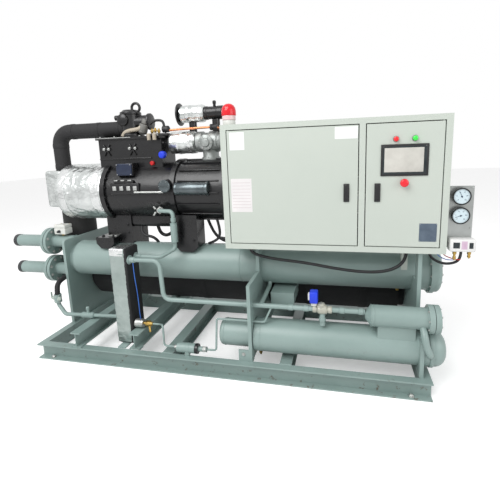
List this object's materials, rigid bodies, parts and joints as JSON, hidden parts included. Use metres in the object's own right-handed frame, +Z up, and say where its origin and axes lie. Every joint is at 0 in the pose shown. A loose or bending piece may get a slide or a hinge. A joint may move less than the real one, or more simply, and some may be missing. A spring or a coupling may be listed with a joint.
{
  "type": "water-cooled screw compressor unit",
  "caption": "Screw compressor unit on a steel skid, with shell vessels, pipework and a control cabinet with two hinged doors.",
  "frame": {"origin": "centre of the anchor bolt pattern at floor level", "axes": "+X along the skid towards the cabinet end, +Y from the cabinet side to the rear, +Z up"},
  "size_m": [3.117, 0.9, 1.657],
  "materials": {
    "skid_paint": "satin",
    "foil": "crumpled",
    "insulation": "matt",
    "black_casting": "painted black",
    "bare_metal": "satin",
    "plastic": "satin",
    "cable_jacket": "matt",
    "cabinet_paint": "fine texture"
  },
  "bodies": {
    "unit": {"beacon": "plastic", "cabinet_body": "cabinet_paint", "cabinet_cable": "cable_jacket", "compressor_casting": "black_casting", "compressor_inlet_box": "foil", "compressor_jacket": "foil", "compressor_motor": "black_casting", "compressor_top_block": "black_casting", "condenser_cover": "skid_paint", "condenser_shell": "skid_paint", "controller_cable": "cable_jacket", "discharge_valve": "bare_metal", "evaporator_shell": "insulation", "expansion_valve": "skid_paint", "feed_pipe": "skid_paint", "filter_drier": "skid_paint", "filter_drier_cover": "skid_paint", "flow_switch": "plastic", "front_rail": "skid_paint", "gauge_panel": "bare_metal", "left_compressor_foot": "black_casting", "left_cross_beam": "skid_paint", "left_end_rail": "skid_paint", "left_support_plate": "skid_paint", "liquid_pipe": "skid_paint", "lower_gauge": "bare_metal", "lower_water_neck": "skid_paint", "lower_water_pipe": "skid_paint", "middle_support_plate": "skid_paint", "mounting_plate": "cabinet_paint", "muffler": "bare_metal", "plate_heat_exchanger": "foil", "pressure_controller": "plastic", "raised_left_beam": "skid_paint", "raised_middle_beam": "skid_paint", "rear_rail": "skid_paint", "right_compressor_foot": "black_casting", "right_cross_beam": "skid_paint", "right_end_rail": "skid_paint", "right_support_plate": "skid_paint", "sensor_wire": "cable_jacket", "small_liquid_line": "skid_paint", "small_liquid_valve": "bare_metal", "solenoid_valve": "bare_metal", "stop_valve": "black_casting", "subcooler_head": "skid_paint", "subcooler_vessel": "skid_paint", "suction_neck": "insulation", "suction_pipe": "insulation", "terminal_box": "black_casting", "upper_gauge": "bare_metal", "upper_water_neck": "skid_paint", "upper_water_pipe": "skid_paint", "vapour_pipe": "skid_paint"},
    "left_leaf": {"left_door": "cabinet_paint", "left_door_handle": "plastic"},
    "right_leaf": {"right_door": "cabinet_paint", "right_door_handle": "plastic", "touch_screen": "plastic", "stop_button": "plastic"}
  },
  "joints": [
    {"name": "left_door_hinge", "type": "hinge", "parent": "unit", "child": "left_leaf", "pos_m": [0.126, -0.293, 1.093], "axis": [0, 0, -1], "range_deg": [0, 110]},
    {"name": "right_door_hinge", "type": "hinge", "parent": "unit", "child": "right_leaf", "pos_m": [1.218, -0.293, 1.093], "axis": [0, 0, 1], "range_deg": [0, 110]}
  ]
}
